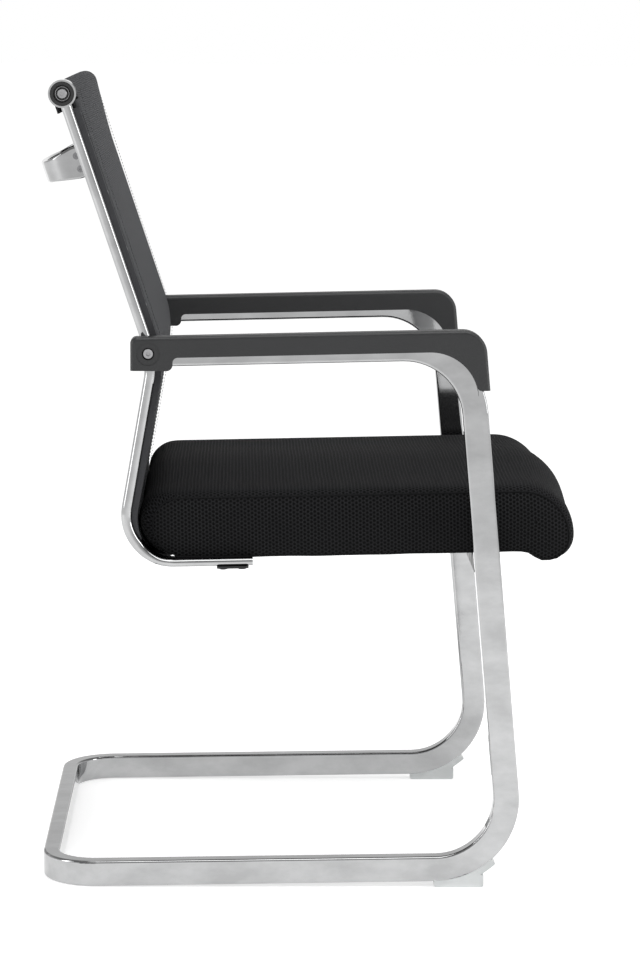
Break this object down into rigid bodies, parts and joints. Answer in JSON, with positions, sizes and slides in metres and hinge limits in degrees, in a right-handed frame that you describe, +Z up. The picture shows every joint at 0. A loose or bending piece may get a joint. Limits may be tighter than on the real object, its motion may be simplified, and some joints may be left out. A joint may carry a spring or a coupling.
{
  "type": "cantilever visitor chair",
  "caption": "Cantilever visitor chair with a bent rectangular steel tube frame, closed arm loops with ribbed pads, a mesh back with a carrying handle, and an upholstered seat.",
  "frame": {"origin": "on the floor, in the middle of the chair's whole width and whole depth", "axes": "+Z up, -Y to the front where the sitter's knees are, +X to the right as seen from the front; left and right in node names are as seen from the front; the chair is symmetric about X = 0"},
  "size_m": [0.566, 0.6417, 0.9441],
  "materials": {
    "chrome_tube": "polished chrome plate",
    "chrome_handle": "polished chrome plate on a cast handle",
    "plain_steel": "bare or zinc-plated steel",
    "bright_fastener": "nickel-plated",
    "black_steel": "black powder coat",
    "black_plastic": "fine grain",
    "pad_plastic": "fine grain",
    "glide_plastic": "translucent white",
    "back_mesh": "tight knitted mesh",
    "seat_fabric": "fine ribbed mesh fabric over foam",
    "side_fabric": "open honeycomb spacer fabric",
    "seat_foam": "moulded foam",
    "plywood": "raw plywood",
    "dust_cover": "thin non-woven"
  },
  "bodies": {
    "root": {"frame_left": "chrome_tube", "frame_right": "chrome_tube", "rear_bar_sleeve": "plain_steel", "back_tube_left": "chrome_tube", "back_tube_right": "chrome_tube", "top_boss_left": "chrome_tube", "top_boss_right": "chrome_tube", "top_plug_left": "black_plastic", "top_plug_right": "black_plastic", "top_washers": "bright_fastener", "top_bolts": "bright_fastener", "top_bar": "plain_steel", "top_bar_inserts": "plain_steel", "edge_profile_left": "black_plastic", "edge_profile_right": "black_plastic", "edge_cord_left": "black_plastic", "edge_cord_right": "black_plastic", "profile_rivets": "plain_steel", "back_mesh": "back_mesh", "hem_bar": "black_steel", "back_cross_tube": "black_steel", "handle_bracket_left": "black_steel", "handle_bracket_right": "black_steel", "handle": "chrome_handle", "handle_screws": "bright_fastener", "arm_pad_left": "pad_plastic", "arm_pad_right": "pad_plastic", "arm_pad_screws": "bright_fastener", "arm_bushes": "black_plastic", "arm_bolts": "bright_fastener", "arm_washers": "bright_fastener", "arm_cap_nuts": "bright_fastener", "rail_end_plugs": "black_plastic", "floor_glide_left": "glide_plastic", "floor_glide_right": "glide_plastic", "glide_pins": "glide_plastic", "seat_cross_member": "black_steel", "mount_plate_left": "black_steel", "mount_plate_right": "black_steel", "clamp_plate_left": "black_steel", "clamp_plate_right": "black_steel", "seat_front_bolts": "black_steel", "seat_rear_bolts": "black_steel", "seat_nuts": "plain_steel", "seat_board": "plywood", "seat_foam": "seat_foam", "seat_dust_cover": "dust_cover", "seat_top_cover": "seat_fabric", "seat_side_cover_left": "side_fabric", "seat_side_cover_right": "side_fabric"}
  },
  "joints": []
}
